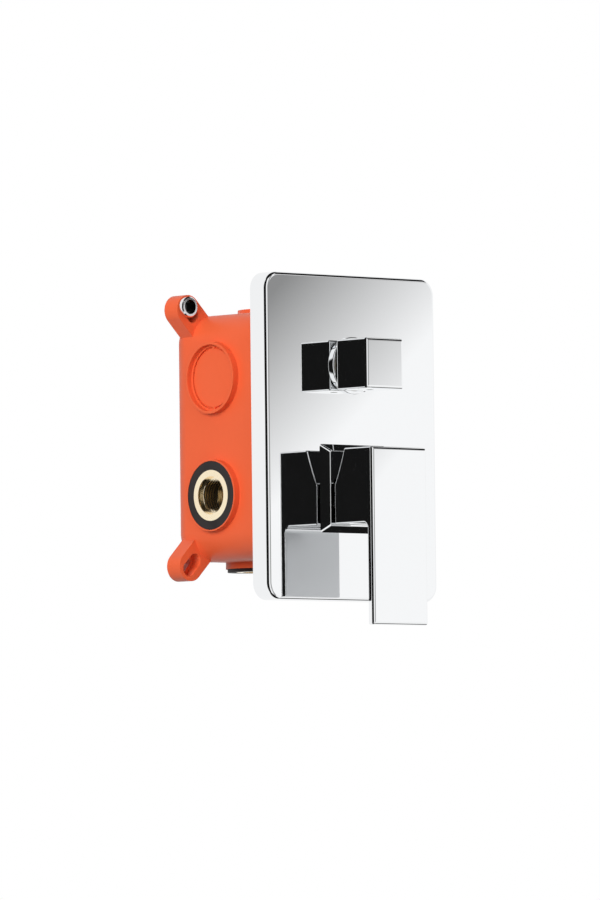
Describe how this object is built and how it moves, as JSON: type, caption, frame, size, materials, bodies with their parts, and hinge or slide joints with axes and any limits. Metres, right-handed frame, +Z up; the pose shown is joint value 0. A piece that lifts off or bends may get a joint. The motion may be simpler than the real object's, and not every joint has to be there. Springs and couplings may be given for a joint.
{
  "type": "concealed shower mixer",
  "caption": "Concealed shower mixer: orange wall box round a brass valve, chrome cover plate, flat lever on a square flange and a square diverter knob.",
  "frame": {"origin": "point of the wall box's back face straight behind the cover plate's centre", "axes": "+Z up, +X to the right as seen from the front, front faces -Y"},
  "size_m": [0.127, 0.1355, 0.1955],
  "materials": {
    "orange_plastic": "moulded orange plastic, satin",
    "cast_brass": "cast and machined brass",
    "turned_brass": "turned brass",
    "black_rubber": "moulded rubber",
    "seal_rubber": "moulded rubber",
    "grey_foam": "closed-cell foam",
    "zinc_steel": "zinc-plated steel",
    "stem_steel": "turned steel",
    "cartridge_plastic": "moulded plastic",
    "white_ceramic": "lapped ceramic",
    "plate_chrome": "polished chrome",
    "trim_chrome": "polished chrome",
    "handle_chrome": "polished chrome"
  },
  "bodies": {
    "valve": {"box_shell": "orange_plastic", "brass_body": "cast_brass", "inlet_gasket_left": "black_rubber", "inlet_gasket_right": "black_rubber", "outlet_gasket_top": "black_rubber", "outlet_gasket_bottom": "black_rubber", "body_screws": "zinc_steel", "wall_screws": "zinc_steel", "mixer_base": "cartridge_plastic", "mixer_base_seals": "seal_rubber", "mixer_housing": "cartridge_plastic", "mixer_fixed_disc": "white_ceramic", "mixer_nut": "turned_brass", "diverter_base": "cartridge_plastic", "diverter_base_seals": "seal_rubber", "diverter_housing": "cartridge_plastic", "diverter_fixed_disc": "white_ceramic", "diverter_nut": "turned_brass", "cover_plate": "plate_chrome", "cover_plate_seal": "grey_foam", "mixer_neck_o_ring": "seal_rubber", "diverter_neck_o_ring": "seal_rubber", "mixer_rosette": "trim_chrome", "rosette_o_ring": "seal_rubber", "diverter_collar": "trim_chrome"},
    "mixer_turret": {"mixer_rotor": "cartridge_plastic", "stem_pin": "stem_steel"},
    "lever": {"lever_handle": "handle_chrome", "lever_set_screw": "stem_steel", "mixer_stem": "stem_steel"},
    "sliding_disc": {"mixer_moving_disc": "white_ceramic", "disc_driver": "cartridge_plastic"},
    "diverter": {"diverter_knob": "handle_chrome", "knob_set_screw": "stem_steel", "diverter_spindle": "turned_brass", "diverter_rotor_disc": "white_ceramic"}
  },
  "joints": [
    {"name": "lever_turn", "type": "hinge", "parent": "valve", "child": "mixer_turret", "pos_m": [0, -0.087, -0.0285], "axis": [0, 1, 0], "range_deg": [-50, 50]},
    {"name": "lever_lift", "type": "hinge", "parent": "mixer_turret", "child": "lever", "pos_m": [0, -0.087, -0.0285], "axis": [-1, 0, 0], "range_deg": [0, 20]},
    {"name": "disc_slide", "type": "slide", "parent": "mixer_turret", "child": "sliding_disc", "axis": [0, 0, -1], "range_m": [0, 0.0034]},
    {"name": "diverter_turn", "type": "hinge", "parent": "valve", "child": "diverter", "pos_m": [0, -0.1005, 0.04], "axis": [0, 1, 0], "range_deg": [0, 90]}
  ],
  "couplings": [
    {"joint": "disc_slide", "follows": "lever_lift", "m_per_rad": 0.0095}
  ]
}
